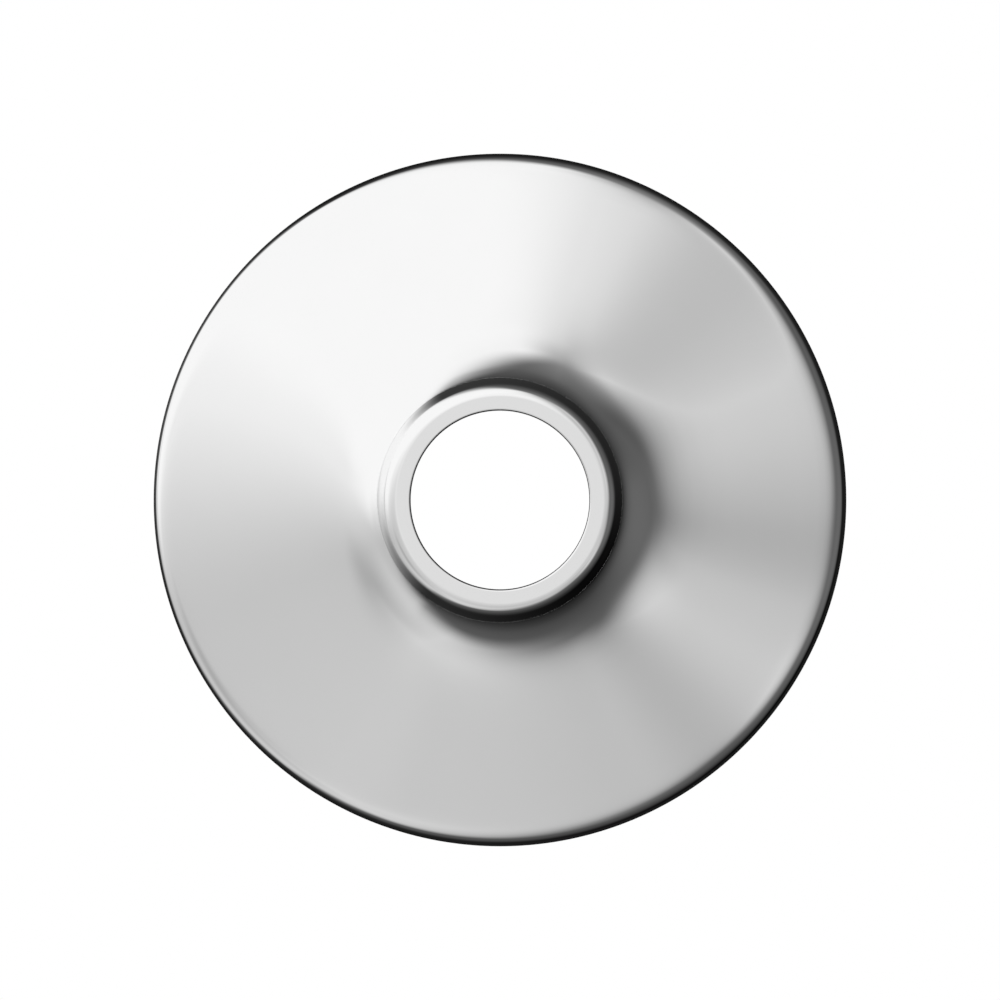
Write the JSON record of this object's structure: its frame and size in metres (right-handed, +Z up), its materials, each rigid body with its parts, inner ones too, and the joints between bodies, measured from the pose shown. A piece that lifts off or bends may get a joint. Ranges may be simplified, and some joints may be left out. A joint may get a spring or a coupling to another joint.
{
  "type": "sprinkler escutcheon",
  "caption": "Chrome two-piece adjustable trim plate for a fire sprinkler: a dished round skirt slides and turns on a drawn cup with a central hole for the pipe thread.",
  "frame": {"origin": "on the axis, in the plane of the skirt's rim at rest, which is the face of the wall; it is also half way along the cup", "axes": "+Y along the axis, from the room into the wall; +Z up for a plate on a wall; the nose faces -Y"},
  "size_m": [0.0856, 0.042, 0.0856],
  "materials": {
    "cup_chrome": "polished chrome plate",
    "skirt_chrome": "polished chrome plate, duller on the back",
    "collar_zinc": "dull zinc plate",
    "spring_steel": "drawn spring wire"
  },
  "bodies": {
    "cup": {"mounting_cup": "cup_chrome"},
    "spring": {"friction_spring": "spring_steel"},
    "skirt": {"skirt_plate": "skirt_chrome", "guide_collar": "collar_zinc"}
  },
  "joints": [
    {"name": "skirt_slide", "type": "slide", "parent": "cup", "child": "spring", "axis": [0, 1, 0], "range_m": [0, 0.01905]},
    {"name": "skirt_spin", "type": "hinge", "parent": "spring", "child": "skirt", "pos_m": [0, 0, 0], "axis": [0, 1, 0], "continuous": true}
  ]
}
